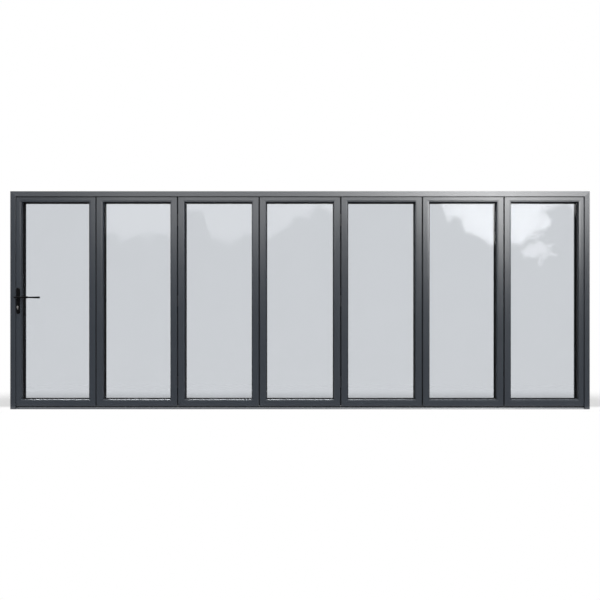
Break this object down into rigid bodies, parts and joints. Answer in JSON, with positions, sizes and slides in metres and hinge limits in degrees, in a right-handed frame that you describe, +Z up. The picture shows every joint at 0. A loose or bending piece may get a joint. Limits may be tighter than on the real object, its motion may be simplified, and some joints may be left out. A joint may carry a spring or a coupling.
{
  "type": "bifold door",
  "caption": "Wide aluminium bifold door: equal glazed leaves in a slim dark frame on a low threshold, with a lever-handled access leaf at the left.",
  "frame": {"origin": "underside of the threshold, at mid width and mid depth of the frame", "axes": "+X along the width to the right as seen from the flange side, +Y through the door away from that side, +Z up"},
  "size_m": [5.59, 0.186, 2.104],
  "materials": {
    "frame_paint": "anthracite powder coat, fine satin texture",
    "glass": "clear sealed double glazing with a faint grey-blue tint",
    "seal": "matt black",
    "spacer": "matt black warm-edge spacer",
    "track_steel": "drawn stainless",
    "carrier": "black moulded",
    "hinge_paint": "dark satin coat",
    "handle_black": "satin black",
    "lock_metal": "satin nickel"
  },
  "bodies": {
    "frame": {"frame_head": "frame_paint", "frame_jamb_left": "frame_paint", "frame_jamb_right": "frame_paint", "threshold": "frame_paint", "bottom_track": "track_steel", "top_guide_track": "track_steel", "frame_seals": "seal", "meeting_seals": "seal", "fold_hinges": "hinge_paint", "concealed_hinges": "hinge_paint", "bottom_carriers": "carrier", "top_guides": "carrier", "lock_keeps": "lock_metal", "glazing_seals": "seal", "spacer_bars": "spacer", "traffic_hinge_fixed": "hinge_paint", "leaf_2_frame": "frame_paint", "leaf_2_glass": "glass", "leaf_2_beads": "frame_paint", "leaf_3_frame": "frame_paint", "leaf_3_glass": "glass", "leaf_3_beads": "frame_paint", "leaf_4_frame": "frame_paint", "leaf_4_glass": "glass", "leaf_4_beads": "frame_paint", "leaf_5_frame": "frame_paint", "leaf_5_glass": "glass", "leaf_5_beads": "frame_paint", "leaf_6_frame": "frame_paint", "leaf_6_glass": "glass", "leaf_6_beads": "frame_paint", "leaf_7_frame": "frame_paint", "leaf_7_glass": "glass", "leaf_7_beads": "frame_paint"},
    "access_leaf": {"leaf_1_frame": "frame_paint", "leaf_1_glass": "glass", "leaf_1_beads": "frame_paint", "leaf_1_glazing_seals": "seal", "leaf_1_spacer": "spacer", "traffic_hinge_moving": "hinge_paint", "handle_plate_front": "handle_black", "handle_plate_back": "handle_black", "lock_cylinder": "lock_metal", "lock_faceplate": "lock_metal"},
    "lever": {"lever_front": "handle_black", "lever_back": "handle_black"}
  },
  "joints": [
    {"name": "access_leaf_swing", "type": "hinge", "parent": "frame", "child": "access_leaf", "pos_m": [-1.97143, 0.05, 1.0456], "axis": [0, 0, -1], "range_deg": [0, 170]},
    {"name": "lever_turn", "type": "hinge", "parent": "access_leaf", "child": "lever", "pos_m": [-2.72, 0, 1.08], "axis": [0, 1, 0], "range_deg": [0, 45], "stiffness_Nm_per_rad": 3, "springref_deg": -20.05}
  ]
}
